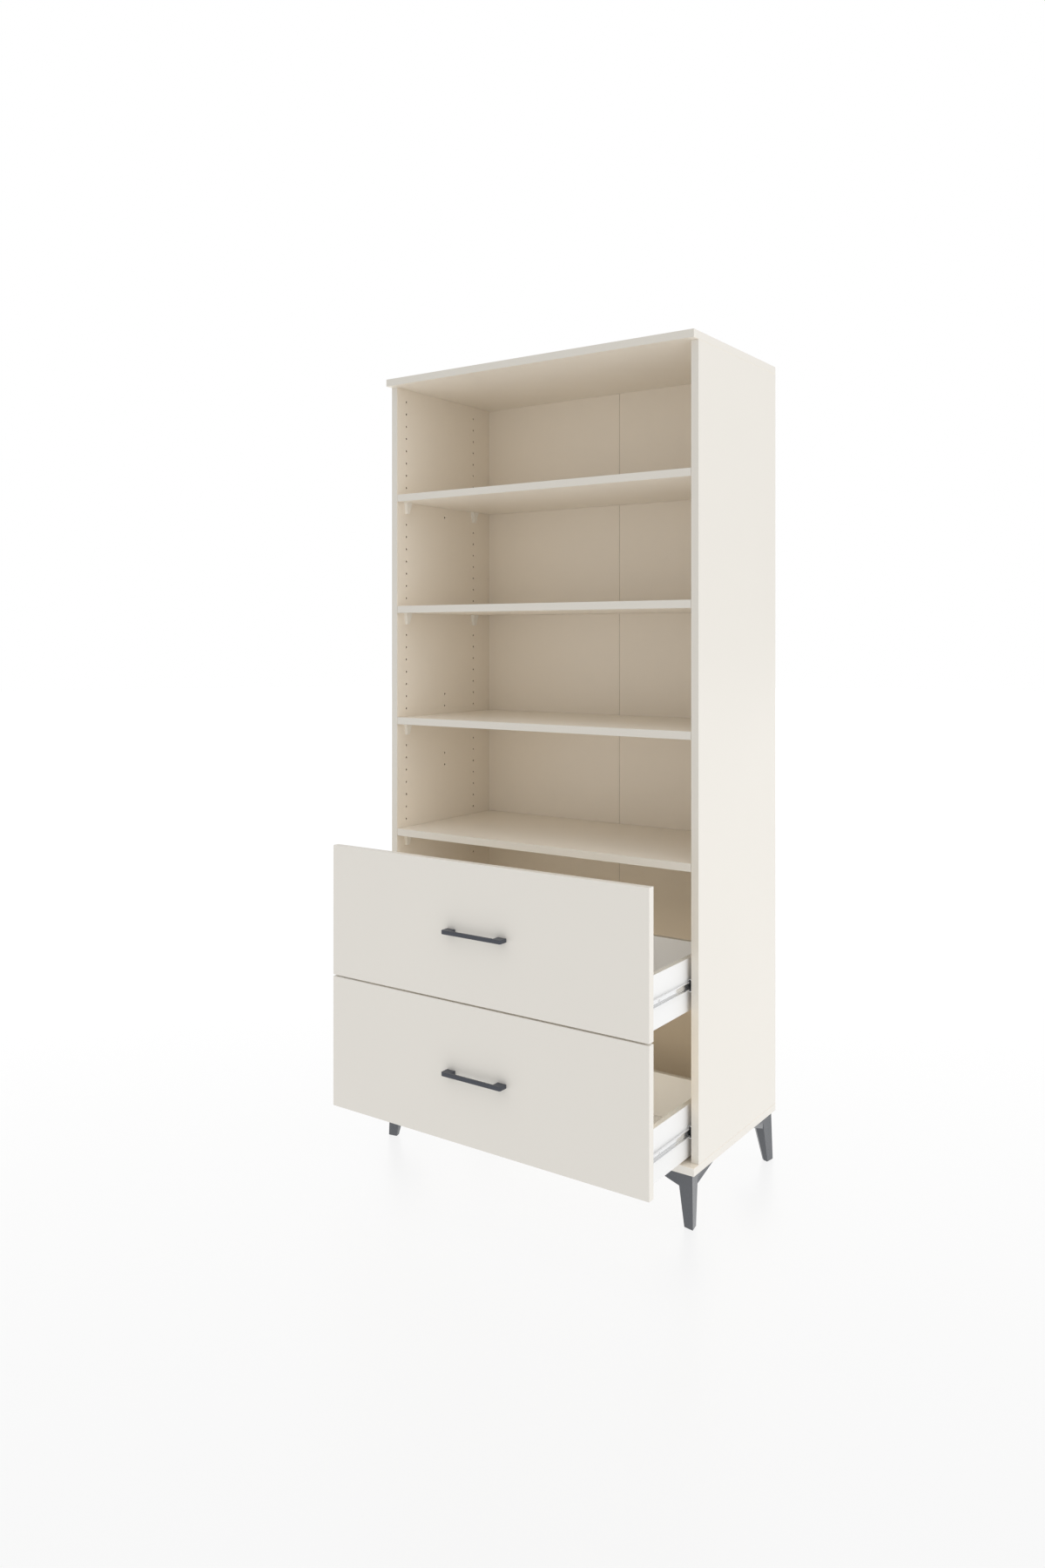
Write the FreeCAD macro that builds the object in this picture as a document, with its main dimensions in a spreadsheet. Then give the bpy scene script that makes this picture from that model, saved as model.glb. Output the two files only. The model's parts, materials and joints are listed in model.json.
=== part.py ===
import FreeCAD
import Part
import Sketcher
import os
import re

# Bookcase with two bottom drawers, stored with both drawers part way out.
# Frame: +X to the right, +Y to the back, +Z up; the floor is at zero.
# The carcass follows a 32 mm hole grid: shelves, slides and drawer fronts sit on its rows.

doc = FreeCAD.newDocument("Bookcase")

# Driving dimensions, in millimetres, and counts
DIMENSIONS = [
    # Carcass boards
    ("case_width", 880),
    ("side_depth", 421),
    ("board_thickness", 18),
    ("front_overhang", 22),
    ("edge_ease", 0.5),
    # Hole grid of the side panels
    ("hole_pitch", 32),
    ("bay_rows", 9),
    ("bay_count", 6),
    ("hole_margin", 33),
    ("hole_diameter", 5),
    ("hole_depth", 12),
    ("hole_front_inset", 37),
    ("hole_rear_inset", 96),
    # Back in two halves, held in grooves, with a strip behind the seam
    ("back_thickness", 8),
    ("back_recess", 13),
    ("groove_depth", 6),
    ("groove_play", 0.2),
    ("seam_offset", 9),
    ("seam_gap", 0.8),
    ("strip_width", 70),
    ("strip_thickness", 8),
    ("strip_screw_inset", 14),
    ("strip_screw_rows", 6),
    ("strip_screw_diameter", 3.5),
    ("strip_screw_head", 7),
    ("strip_screw_head_height", 1.8),
    ("strip_screw_bite", 5),
    # Shelves and their supports
    ("shelf_end_play", 0.6),
    ("shelf_back_play", 1),
    ("support_drop", 25),
    ("support_height", 29),
    ("support_width", 22),
    ("support_reach", 11),
    ("support_foot_width", 9),
    ("support_foot_reach", 7),
    ("support_pin_diameter", 4.9),
    ("support_pin_length", 9),
    # Legs
    ("leg_height", 120),
    ("leg_inset", 8),
    ("leg_splay", 3),
    ("leg_tip_width", 23),
    ("leg_tip_lean", 4),
    ("leg_tip_inner", 21),
    ("leg_tip_corner_cut", 6),
    ("leg_tip_bevel", 1.5),
    ("leg_top_width", 40),
    ("leg_top_lean", 6),
    ("leg_top_inner", 40),
    ("leg_top_corner_cut", 8),
    ("wing_length", 112),
    ("wing_start", 20),
    ("wing_start_inset", 6.6),
    ("wing_start_height", 40),
    ("wing_thickness", 8),
    ("wing_end_thickness", 5),
    ("wing_end_height", 5),
    ("plate_thickness", 4),
    ("plate_margin", 4),
    ("leg_screw_edge", 18),
    ("leg_screw_reach", 75),
    ("leg_screw_middle", 50),
    ("leg_screw_diameter", 4.5),
    ("leg_screw_head", 8.5),
    ("leg_screw_head_height", 2.4),
    ("leg_screw_bite", 13),
    # Joinery of the carcass
    ("case_screw_diameter", 6.4),
    ("case_screw_head", 10),
    ("case_screw_head_height", 4),
    ("case_screw_bite", 32),
    ("case_screw_front", 140),
    ("case_screw_rear", 141),
    ("cap_height", 1.5),
    ("dowel_diameter", 8),
    ("dowel_bite", 11),
    ("dowel_depth", 24),
    ("dowel_front", 45),
    ("dowel_rear", 46),
    ("fit_play", 0.1),
    # Drawers
    ("drawer_rows", 10),
    ("slide_row", 1),
    ("front_thickness", 18),
    ("front_side_gap", 1.5),
    ("front_stack_gap", 4),
    ("front_foot_gap", 3),
    ("closed_gap", 2),
    ("short_of_stop", 52),
    ("box_height", 116),
    ("box_board", 12),
    ("bottom_thickness", 4),
    ("bottom_lift", 10),
    ("bottom_groove", 5),
    ("box_dowel_diameter", 6),
    ("box_dowel_bite", 8),
    ("box_dowel_depth", 16),
    ("box_dowel_inset", 32),
    ("front_screw_diameter", 4),
    ("front_screw_head", 8),
    ("front_screw_head_height", 2),
    ("front_screw_bite", 12),
    ("front_screw_inset", 90),
    ("front_screw_rise", 30),
    # Handles
    ("handle_length", 166),
    ("handle_height", 9),
    ("handle_projection", 24),
    ("handle_bar", 7),
    ("handle_post", 24),
    ("handle_corner_cut", 3),
    ("handle_ease", 0.6),
    ("handle_screw_diameter", 4),
    ("handle_screw_head", 8),
    ("handle_screw_head_height", 2.5),
    ("handle_screw_bite", 10),
    # Ball-bearing slides
    ("slide_room", 10.5),
    ("slide_setback", 3),
    ("slide_rear_room", 47),
    ("slide_overlap", 100),
    ("slide_height", 27),
    ("slide_depth", 8.5),
    ("slide_lip", 4),
    ("slide_sheet", 1.2),
    ("runner_height", 17),
    ("runner_depth", 7),
    ("runner_end", 3),
    ("cage_length", 76),
    ("cage_end_play", 2),
    ("cage_sheet", 0.8),
    ("cage_stand", 1),
    ("cage_height", 21.6),
    ("cage_depth", 4.8),
    ("ball_diameter", 3.4),
    ("ball_play", 0.2),
    ("ball_offset", 5.2),
    ("ball_end", 8),
    ("stop_length", 8),
    ("stop_depth", 5.4),
    ("stop_play", 0.3),
    ("slide_screw_diameter", 4.6),
    ("slide_screw_head", 7),
    ("slide_screw_head_height", 0.6),
    ("slide_screw_bite", 10),
    ("runner_screw_diameter", 3.5),
    ("runner_screw_head", 6.4),
    ("runner_screw_head_height", 1),
    ("runner_screw_bite", 9),
    ("runner_screw_front", 35),
    ("runner_screw_rear", 54),
    # Overrun of cuts that pass right through
    ("overrun", 2),
]

sheet = doc.addObject("Spreadsheet::Sheet", "Dims")
for line, (alias, size) in enumerate(DIMENSIONS, start=1):
    sheet.set(f"A{line}", alias)
    sheet.set(f"B{line}", str(size))
    sheet.setAlias(f"B{line}", alias)
doc.recompute()

ALIASES = {alias for alias, size in DIMENSIONS}
BALLS_PER_ROW = 5
SHELF_BAYS = (5, 4, 3, 2)
MIDDLE_HOLE_ROWS = (45, 30, 29, 25, 24)
MIDDLE_COLUMN_SHARE = "(5 / 9)"
SLIDE_ROWS = {"upper": "(slide_row + drawer_rows)", "lower": "slide_row"}
STRIP_ROW_START_SHARE = 0.5

# Places, as expressions in the driving dimensions
HALF_WIDTH = "(case_width / 2)"
INNER_HALF = "(case_width / 2 - board_thickness)"
INNER_DEPTH = "(side_depth - back_recess - back_thickness)"
SLIDE_LENGTH = f"({INNER_DEPTH} - slide_setback - slide_rear_room)"
SLIDE_TRAVEL = f"({SLIDE_LENGTH} - slide_overlap)"
BOX_LENGTH = SLIDE_LENGTH
DRAWN_OUT = f"({SLIDE_TRAVEL} - short_of_stop)"
FRONT_REACH = f"({DRAWN_OUT} + closed_gap + front_thickness + handle_projection)"
SIDE_FRONT = f"(({FRONT_REACH} - side_depth) / 2)"
SIDE_REAR = f"({SIDE_FRONT} + side_depth)"
PANEL_FRONT = f"({SIDE_FRONT} - front_overhang)"
PANEL_DEPTH = "(side_depth + front_overhang)"
BOTTOM_TOP = "(leg_height + board_thickness)"
SIDE_HEIGHT = "(2 * hole_margin + bay_count * bay_rows * hole_pitch)"
TOP_UNDER = f"({BOTTOM_TOP} + {SIDE_HEIGHT})"
BACK_FRONT = f"({SIDE_FRONT} + {INNER_DEPTH})"
FRONT_COLUMN = f"({SIDE_FRONT} + hole_front_inset)"
REAR_COLUMN = f"({SIDE_REAR} - hole_rear_inset)"
MIDDLE_COLUMN = f"({FRONT_COLUMN} + {MIDDLE_COLUMN_SHARE} * ({REAR_COLUMN} - {FRONT_COLUMN}))"
BOX_HALF = f"({INNER_HALF} - slide_room)"
FRONT_REAR_FACE = f"({SIDE_FRONT} - closed_gap - {DRAWN_OUT})"
FRONT_HEIGHT = "(drawer_rows * hole_pitch - front_stack_gap)"
FRONT_WIDTH = "(case_width - 2 * front_side_gap)"


def row_height(row):
    """Height of a row of the hole grid, counted up from the bottom panel."""
    return f"({BOTTOM_TOP} + hole_margin + {row} * hole_pitch)"


def bound(expression):
    """The expression with its dimension names pointing at the sheet."""
    return re.sub(r"[a-z_]+", lambda m: f"Dims.{m[0]}" if m[0] in ALIASES else m[0], str(expression))


def value(expression):
    result = sheet.evalExpression(bound(expression))
    return float(getattr(result, "Value", result))


# Sketches and features

def sketch_on(body, name, role, offset="0"):
    sketch = body.newObject("Sketcher::SketchObject", name)
    plane = [feature for feature in body.Origin.OriginFeatures if feature.Role == role][0]
    sketch.AttachmentSupport = (plane, [""])
    sketch.MapMode = "FlatFace"
    sketch.setExpression("AttachmentOffset.Base.z", bound(offset))
    return sketch


def pin_point(sketch, element, point, x, y):
    """Dimension a sketch point from the sketch's origin."""
    for kind, place in (("DistanceX", x), ("DistanceY", y)):
        index = sketch.addConstraint(Sketcher.Constraint(kind, -1, 1, element, point, value(place)))
        sketch.setExpression(f"Constraints[{index}]", bound(place))


def polygon(sketch, points):
    corners = [FreeCAD.Vector(value(x), value(y), 0) for x, y in points]
    count = len(points)
    for index in range(count):
        sketch.addGeometry(Part.LineSegment(corners[index], corners[(index + 1) % count]), False)
    for index, (x, y) in enumerate(points):
        sketch.addConstraint(Sketcher.Constraint("Coincident", index, 2, (index + 1) % count, 1))
        pin_point(sketch, index, 1, x, y)


def rectangle(sketch, x_low, x_high, y_low, y_high):
    polygon(sketch, [(x_low, y_low), (x_high, y_low), (x_high, y_high), (x_low, y_high)])


def circles(sketch, centres, diameter):
    for index, (x, y) in enumerate(centres):
        centre = FreeCAD.Vector(value(x), value(y), 0)
        up = FreeCAD.Vector(0, 0, 1)
        sketch.addGeometry(Part.Circle(centre, up, value(diameter) / 2), False)
        pin_point(sketch, index, 3, x, y)
        size = sketch.addConstraint(Sketcher.Constraint("Diameter", index, value(diameter)))
        sketch.setExpression(f"Constraints[{size}]", bound(diameter))


def pad(body, sketch, length):
    feature = body.newObject("PartDesign::Pad", sketch.Name + "Pad")
    feature.Profile = sketch
    feature.setExpression("Length", bound(length))
    return feature


def pocket(body, sketch, depth, along_normal=False):
    """Cut against the sketch's normal, or along it; a cut that takes nothing away is an error."""
    doc.recompute()
    before = body.Shape.Volume
    feature = body.newObject("PartDesign::Pocket", sketch.Name + "Pocket")
    feature.Profile = sketch
    feature.setExpression("Length", bound(depth))
    feature.Reversed = along_normal
    doc.recompute()
    if body.Shape.Volume >= before:
        raise RuntimeError(f"{sketch.Name} cuts nothing")
    return feature


def ease_edges(body, size):
    """Chamfer every edge of the body's last feature."""
    doc.recompute()
    base = body.Tip
    edges = [f"Edge{number}" for number in range(1, len(base.Shape.Edges) + 1)]
    feature = body.newObject("PartDesign::Chamfer", body.Name + "Ease")
    feature.Base = (base, edges)
    feature.setExpression("Size", bound(size))
    doc.recompute()
    return feature


def new_body(label, place=("0", "0", "0"), turn=0):
    body = doc.addObject("PartDesign::Body", label)
    body.Label = label
    body.Placement.Rotation = FreeCAD.Rotation(FreeCAD.Vector(0, 0, 1), turn)
    for axis, coordinate in zip("xyz", place):
        body.setExpression(f"Placement.Base.{axis}", bound(coordinate))
    return body


class Board:
    """A flat board with eased edges; cuts are placed by their places on the whole object."""

    def __init__(self, label, corner, size):
        self.label = label
        self.corner = corner
        self.cuts = 0
        self.body = new_body(label, corner)
        outline = sketch_on(self.body, label + "Outline", "XY_Plane")
        rectangle(outline, "0", size[0], "0", size[1])
        pad(self.body, outline, size[2])
        ease_edges(self.body, "edge_ease")

    def sketch(self, normal, level):
        """An empty sketch square to an axis at a level of the whole object."""
        self.cuts += 1
        role = {"x": "YZ_Plane", "y": "XZ_Plane", "z": "XY_Plane"}[normal]
        local = f"({level}) - ({self.corner['xyz'.index(normal)]})"
        offset = f"-({local})" if normal == "y" else local
        return sketch_on(self.body, f"{self.label}Cut{self.cuts}", role, offset)

    def local(self, normal, first, second):
        axes = {"x": (1, 2), "y": (0, 2), "z": (0, 1)}[normal]
        return tuple(f"({p}) - ({self.corner[a]})" for p, a in zip((first, second), axes))

    def cut(self, sketch, direction, depth):
        """Cut from the sketch towards a direction such as +x."""
        along = direction in ("+x", "-y", "+z")
        return pocket(self.body, sketch, depth, along)

    def drill(self, direction, level, places, diameter, depth):
        normal = direction[1]
        sketch = self.sketch(normal, level)
        circles(sketch, [self.local(normal, a, b) for a, b in places], diameter)
        return self.cut(sketch, direction, depth)

    def groove(self, direction, level, low, high, depth):
        normal = direction[1]
        sketch = self.sketch(normal, level)
        x_low, y_low = self.local(normal, *low)
        x_high, y_high = self.local(normal, *high)
        rectangle(sketch, x_low, x_high, y_low, y_high)
        return self.cut(sketch, direction, depth)


# Turned and small pieces made of primitives

AXIS_TURNS = {
    "+x": FreeCAD.Rotation(FreeCAD.Vector(0, 1, 0), 90),
    "-x": FreeCAD.Rotation(FreeCAD.Vector(0, 1, 0), -90),
    "+y": FreeCAD.Rotation(FreeCAD.Vector(1, 0, 0), -90),
    "-y": FreeCAD.Rotation(FreeCAD.Vector(1, 0, 0), 90),
    "+z": FreeCAD.Rotation(),
    "-z": FreeCAD.Rotation(FreeCAD.Vector(1, 0, 0), 180),
}


def put(item, place, rotation=FreeCAD.Rotation()):
    item.Placement.Rotation = rotation
    for axis, coordinate in zip("xyz", place):
        item.setExpression(f"Placement.Base.{axis}", bound(coordinate))
    return item


def rod(name, place, direction, diameter, length):
    item = doc.addObject("Part::Cylinder", name)
    item.setExpression("Radius", bound(f"({diameter}) / 2"))
    item.setExpression("Height", bound(length))
    return put(item, place, AXIS_TURNS[direction])


def block(name, place, size):
    item = doc.addObject("Part::Box", name)
    for side, length in zip(("Length", "Width", "Height"), size):
        item.setExpression(side, bound(length))
    return put(item, place)


def moved(place, direction, distance):
    """A place shifted along a direction such as -z."""
    sign, axis = direction
    return tuple(f"({p}) {sign} ({distance})" if name == axis else p for name, p in zip("xyz", place))


def against(direction):
    return {"+": "-", "-": "+"}[direction[0]] + direction[1]


def screw(name, seat, direction, kind, shank_length):
    """A screw whose head bears on the seat and whose shank points in the direction."""
    head = rod(name + "Head", seat, against(direction), f"{kind}_head", f"{kind}_head_height")
    shank = rod(name + "Shank", seat, direction, f"{kind}_diameter", shank_length)
    whole = doc.addObject("Part::Fuse", name)
    whole.Base = head
    whole.Tool = shank
    return whole


def group(label, members):
    """Identical separate pieces kept under one name."""
    item = doc.addObject("Part::Compound", label)
    item.Label = label
    item.Links = members
    return item


# Carcass boards

def top_and_bottom():
    size = ("case_width", PANEL_DEPTH, "board_thickness")
    top = Board("top_panel", (f"-{HALF_WIDTH}", PANEL_FRONT, TOP_UNDER), size)
    bottom = Board("bottom_panel", (f"-{HALF_WIDTH}", PANEL_FRONT, "leg_height"), size)
    groove_reach = f"({INNER_HALF} + groove_depth + groove_play)"
    groove_low = (f"-{groove_reach}", f"{BACK_FRONT} - groove_play")
    groove_high = (groove_reach, f"{BACK_FRONT} + back_thickness + groove_play")
    top.groove("+z", TOP_UNDER, groove_low, groove_high, "groove_depth + groove_play")
    bottom.groove("-z", BOTTOM_TOP, groove_low, groove_high, "groove_depth + groove_play")
    screws = case_places("case_screw_front", "case_screw_rear")
    dowels = case_places("dowel_front", "dowel_rear")
    for board, inward, joint_level, outer_level in (
        (top, "+z", TOP_UNDER, f"{TOP_UNDER} + board_thickness"),
        (bottom, "-z", BOTTOM_TOP, "leg_height"),
    ):
        board.drill(inward, joint_level, screws, "case_screw_diameter + 2 * fit_play", "board_thickness")
        sink_depth = "case_screw_head_height + cap_height"
        board.drill(against(inward), outer_level, screws, "case_screw_head + 2 * fit_play", sink_depth)
        board.drill(inward, joint_level, dowels, "dowel_diameter + 2 * fit_play", "dowel_bite + fit_play")
    bottom.drill("+z", "leg_height", leg_screw_places(), "leg_screw_diameter + 2 * fit_play",
                 "leg_screw_bite + fit_play")


def case_places(front, rear, sides=("-", "")):
    """Places of the joinery over the middle of the side panels, in from their front and rear edges."""
    middle = f"({INNER_HALF} + board_thickness / 2)"
    depths = (f"{SIDE_FRONT} + {front}", f"{SIDE_REAR} - {rear}")
    return [(f"{side}{middle}", depth) for side in sides for depth in depths]


def side_panels():
    for name, side in (("left", "-"), ("right", "")):
        low_edge = f"-{HALF_WIDTH}" if name == "left" else INNER_HALF
        inner = f"{side}{INNER_HALF}"
        into = "-x" if name == "left" else "+x"
        board = Board(f"{name}_side_panel", (low_edge, SIDE_FRONT, BOTTOM_TOP),
                      ("board_thickness", "side_depth", SIDE_HEIGHT))
        groove_low = (f"{BACK_FRONT} - groove_play", BOTTOM_TOP)
        groove_high = (f"{BACK_FRONT} + back_thickness + groove_play", TOP_UNDER)
        board.groove(into, inner, groove_low, groove_high, "groove_depth + groove_play")
        middle_holes = [(MIDDLE_COLUMN, row_height(row)) for row in MIDDLE_HOLE_ROWS]
        board.drill(into, inner, middle_holes, "hole_diameter", "hole_depth")
        ends = case_places("case_screw_front", "case_screw_rear", (side,))
        pegs = case_places("dowel_front", "dowel_rear", (side,))
        for upward, level in (("+z", BOTTOM_TOP), ("-z", TOP_UNDER)):
            board.drill(upward, level, ends, "case_screw_diameter + 2 * fit_play",
                        "case_screw_bite + fit_play")
            board.drill(upward, level, pegs, "dowel_diameter + 2 * fit_play", "dowel_depth + fit_play")
        lowest = [(FRONT_COLUMN, row_height(0)), (REAR_COLUMN, row_height(0))]
        first_row = board.drill(into, inner, lowest, "hole_diameter", "hole_depth")
        rows = board.body.newObject("PartDesign::LinearPattern", f"{name}HoleRows")
        rows.Originals = [first_row]
        rows.Direction = (first_row.Profile[0], ["V_Axis"])
        rows.setExpression("Length", bound("bay_count * bay_rows * hole_pitch"))
        rows.setExpression("Occurrences", bound("bay_count * bay_rows + 1"))
        board.body.Tip = rows


def back_panels():
    height = f"({SIDE_HEIGHT} + 2 * groove_depth)"
    low = f"({BOTTOM_TOP} - groove_depth)"
    reach = f"({INNER_HALF} + groove_depth)"
    left = Board("back_panel_left", (f"-{reach}", BACK_FRONT, low),
                 (f"{reach} + seam_offset - seam_gap / 2", "back_thickness", height))
    right = Board("back_panel_right", ("seam_offset + seam_gap / 2", BACK_FRONT, low),
                  (f"{reach} - seam_offset - seam_gap / 2", "back_thickness", height))
    back_rear = f"({BACK_FRONT} + back_thickness)"
    strip = Board("back_joint_strip", ("seam_offset - strip_width / 2", back_rear, BOTTOM_TOP),
                  ("strip_width", "strip_thickness", SIDE_HEIGHT))
    hole = "strip_screw_diameter + 2 * fit_play"
    columns = {"left": "seam_offset - strip_width / 2 + strip_screw_inset",
               "right": "seam_offset + strip_width / 2 - strip_screw_inset"}
    seat = f"({back_rear} + strip_thickness)"
    screws = []
    for name, board in (("left", left), ("right", right)):
        places = [(columns[name], strip_row(row)) for row in range(int(value("strip_screw_rows")))]
        board.drill("-y", back_rear, places, hole, "strip_screw_bite + fit_play")
        strip.drill("-y", seat, places, hole, "strip_thickness + overrun")
        for number, (x, z) in enumerate(places, start=1):
            screws.append(screw(f"StripScrew{name}{number}", (x, seat, z), "-y", "strip_screw",
                                "strip_thickness + strip_screw_bite"))
    group("back_strip_screws", screws)


def strip_row(row):
    return f"({BOTTOM_TOP} + ({row} + {STRIP_ROW_START_SHARE}) * {SIDE_HEIGHT} / strip_screw_rows)"


# Shelves, each on four supports

def shelves():
    depth = f"({INNER_DEPTH} - shelf_back_play)"
    width = f"(2 * ({INNER_HALF} - shelf_end_play))"
    for number, bay in enumerate(SHELF_BAYS, start=1):
        under = f"({row_height(f'{bay} * bay_rows')} + support_drop)"
        Board(f"shelf_{number}", (f"-{INNER_HALF} + shelf_end_play", SIDE_FRONT, under),
              (width, depth, "board_thickness"))
        members = []
        for side in ("-", "+"):
            for column, place in (("Front", FRONT_COLUMN), ("Rear", REAR_COLUMN)):
                name = f"Support{number}{column}{'Left' if side == '-' else 'Right'}"
                members.append(support(name, side, place, under))
        group(f"shelf_{number}_supports", members)


def support(name, side, column, under):
    """A plastic gusset that narrows downwards, with a pin that plugs into a hole of the side panel."""
    inward = "+" if side == "-" else "-"
    gusset = doc.addObject("Part::Wedge", name + "Gusset")
    spans = {"Zmin": "-support_foot_width / 2", "Zmax": "support_foot_width / 2",
             "Z2min": "-support_width / 2", "Z2max": "support_width / 2",
             "Ymin": "-support_height", "Ymax": "0"}
    if inward == "+":
        spans.update(Xmin="0", Xmax="support_foot_reach", X2min="0", X2max="support_reach")
    else:
        spans.update(Xmin="-support_foot_reach", Xmax="0", X2min="-support_reach", X2max="0")
    for side_name, length in spans.items():
        gusset.setExpression(side_name, bound(length))
    wall = f"{side if side == '-' else ''}{INNER_HALF}"
    put(gusset, (wall, column, under), FreeCAD.Rotation(FreeCAD.Vector(1, 0, 0), 90))
    pin_place = (f"{wall} {inward} support_foot_reach / 2", column, f"{under} - support_drop")
    pin = rod(name + "Pin", pin_place, f"{side}x", "support_pin_diameter",
              "support_pin_length + support_foot_reach / 2")
    whole = doc.addObject("Part::Fuse", name)
    whole.Base = gusset
    whole.Tool = pin
    return whole


# Legs

LEG_CORNERS = {
    "front_left": ("-", "front", 0),
    "front_right": ("+", "front", 90),
    "rear_right": ("+", "rear", 180),
    "rear_left": ("-", "rear", 270),
}
LEG_SCREWS = (("leg_screw_edge", "leg_screw_reach"), ("leg_screw_reach", "leg_screw_edge"),
              ("leg_screw_middle", "leg_screw_middle"))


def leg_point(corner, inward_x, inward_y):
    """A place on the whole object, measured inwards from a leg's outer corner."""
    side, end, turn = LEG_CORNERS[corner]
    inner_x = "-" if side == "+" else "+"
    x = f"{side}({HALF_WIDTH} - leg_inset) {inner_x} ({inward_x})".lstrip("+")
    if end == "front":
        return x, f"{PANEL_FRONT} + leg_inset + ({inward_y})"
    return x, f"{SIDE_REAR} - leg_inset - ({inward_y})"


def leg_screw_places():
    return [leg_point(corner, u, v) for corner in LEG_CORNERS for u, v in LEG_SCREWS]


def leg_outline(width, lean, inner, corner_cut, splay):
    """Five-sided section: the two outer faces turn in a little from the outer corner."""
    points = [("0", "0"), (width, lean), (inner, f"{inner} - {corner_cut}"),
              (f"{inner} - {corner_cut}", inner), (lean, width)]
    return [(f"{x} - {splay}", f"{y} - {splay}") for x, y in points]


def leg(corner):
    body = new_body(f"{corner}_leg", (*leg_point(corner, "0", "0"), "0"), LEG_CORNERS[corner][2])
    name = body.Name
    sole = sketch_on(body, name + "Sole", "XY_Plane")
    polygon(sole, leg_outline("leg_tip_width - 2 * leg_tip_bevel", "leg_tip_lean",
                              "leg_tip_inner - 2 * leg_tip_bevel", "leg_tip_corner_cut",
                              "(leg_splay - leg_tip_bevel)"))
    tip = sketch_on(body, name + "Tip", "XY_Plane", "leg_tip_bevel")
    polygon(tip, leg_outline("leg_tip_width", "leg_tip_lean", "leg_tip_inner",
                             "leg_tip_corner_cut", "leg_splay"))
    top = sketch_on(body, name + "Top", "XY_Plane", "leg_height")
    polygon(top, leg_outline("leg_top_width", "leg_top_lean", "leg_top_inner", "leg_top_corner_cut", "0"))
    post = body.newObject("PartDesign::AdditiveLoft", name + "Post")
    post.Profile = sole
    post.Sections = [tip, top]
    post.Ruled = True
    for role, sign in (("YZ_Plane", ""), ("XZ_Plane", "-")):
        root = sketch_on(body, f"{name}WingRoot{role[:2]}", role, f"{sign}wing_start")
        rectangle(root, "wing_start_inset", "wing_start_inset + wing_thickness",
                  "leg_height - wing_start_height", "leg_height")
        end = sketch_on(body, f"{name}WingEnd{role[:2]}", role, f"{sign}wing_length")
        rectangle(end, "0", "wing_end_thickness", "leg_height - wing_end_height", "leg_height")
        wing = body.newObject("PartDesign::AdditiveLoft", f"{name}Wing{role[:2]}")
        wing.Profile = root
        wing.Sections = [end]
        wing.Ruled = True
        doc.recompute()
    plate = sketch_on(body, name + "Plate", "XY_Plane", "leg_height - plate_thickness")
    polygon(plate, [("wing_start_inset", "wing_start_inset"), ("wing_length - plate_margin", "plate_margin"),
                    ("plate_margin", "wing_length - plate_margin")])
    pad(body, plate, "plate_thickness")
    holes = sketch_on(body, name + "Holes", "XY_Plane", "leg_height")
    circles(holes, LEG_SCREWS, "leg_screw_diameter + 2 * fit_play")
    pocket(body, holes, "plate_thickness")


def legs():
    for corner in LEG_CORNERS:
        leg(corner)
    seat = "leg_height - plate_thickness"
    group("leg_screws", [screw(f"LegScrew{number}", (x, y, seat), "+z", "leg_screw",
                               "plate_thickness + leg_screw_bite")
                         for number, (x, y) in enumerate(leg_screw_places(), start=1)])


# Joinery of the carcass

def joinery():
    screws = []
    caps = []
    dowels = []
    top_face = f"({TOP_UNDER} + board_thickness)"
    sunk = "(cap_height + case_screw_head_height)"
    length = f"board_thickness - {sunk} + case_screw_bite"
    for number, (x, y) in enumerate(case_places("case_screw_front", "case_screw_rear"), start=1):
        top_seat = (x, y, f"{top_face} - {sunk}")
        bottom_seat = (x, y, f"leg_height + {sunk}")
        screws.append(screw(f"TopScrew{number}", top_seat, "-z", "case_screw", length))
        screws.append(screw(f"BottomScrew{number}", bottom_seat, "+z", "case_screw", length))
        caps.append(rod(f"ScrewCap{number}", (x, y, top_face), "-z", "case_screw_head", "cap_height"))
    dowel_starts = (("Top", f"{TOP_UNDER} - dowel_depth"), ("Bottom", f"{BOTTOM_TOP} - dowel_bite"))
    for number, (x, y) in enumerate(case_places("dowel_front", "dowel_rear"), start=1):
        for end, level in dowel_starts:
            dowels.append(rod(f"{end}Dowel{number}", (x, y, level), "+z", "dowel_diameter",
                              "dowel_bite + dowel_depth"))
    group("carcass_screws", screws)
    group("screw_caps", caps)
    group("carcass_dowels", dowels)


# Ball-bearing slides: a cabinet member, a drawer member and a cage of balls between them

def slide_x(side, depth):
    """A place measured from a side panel's inner face towards the drawer."""
    return f"-{INNER_HALF} + ({depth})" if side == "left" else f"{INNER_HALF} - ({depth})"


def channel(label, side, place_y, height, open_at, web_at, half_height, sheet, length, lip=None):
    """A bent channel along Y whose web is at one depth and whose open side is at another."""
    body = new_body(label, ("0", place_y, height))
    outline = sketch_on(body, label + "Section", "XZ_Plane")
    step = "+" if value(open_at) > value(web_at) else "-"
    web_inside = f"({web_at} {step} {sheet})"
    upper = [(web_at, half_height), (open_at, half_height)]
    if lip is not None:
        lip_inside = f"({open_at} - {sheet})"
        upper += [(open_at, f"{half_height} - {lip}"), (lip_inside, f"{half_height} - {lip}")]
        upper += [(lip_inside, f"{half_height} - {sheet}")]
    else:
        upper += [(open_at, f"{half_height} - {sheet}")]
    upper += [(web_inside, f"{half_height} - {sheet}")]
    lower = [(depth, f"-({z})") for depth, z in reversed(upper)]
    polygon(outline, [(slide_x(side, depth), z) for depth, z in upper + lower])
    strip = pad(body, outline, length)
    strip.Reversed = True
    return body


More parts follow.
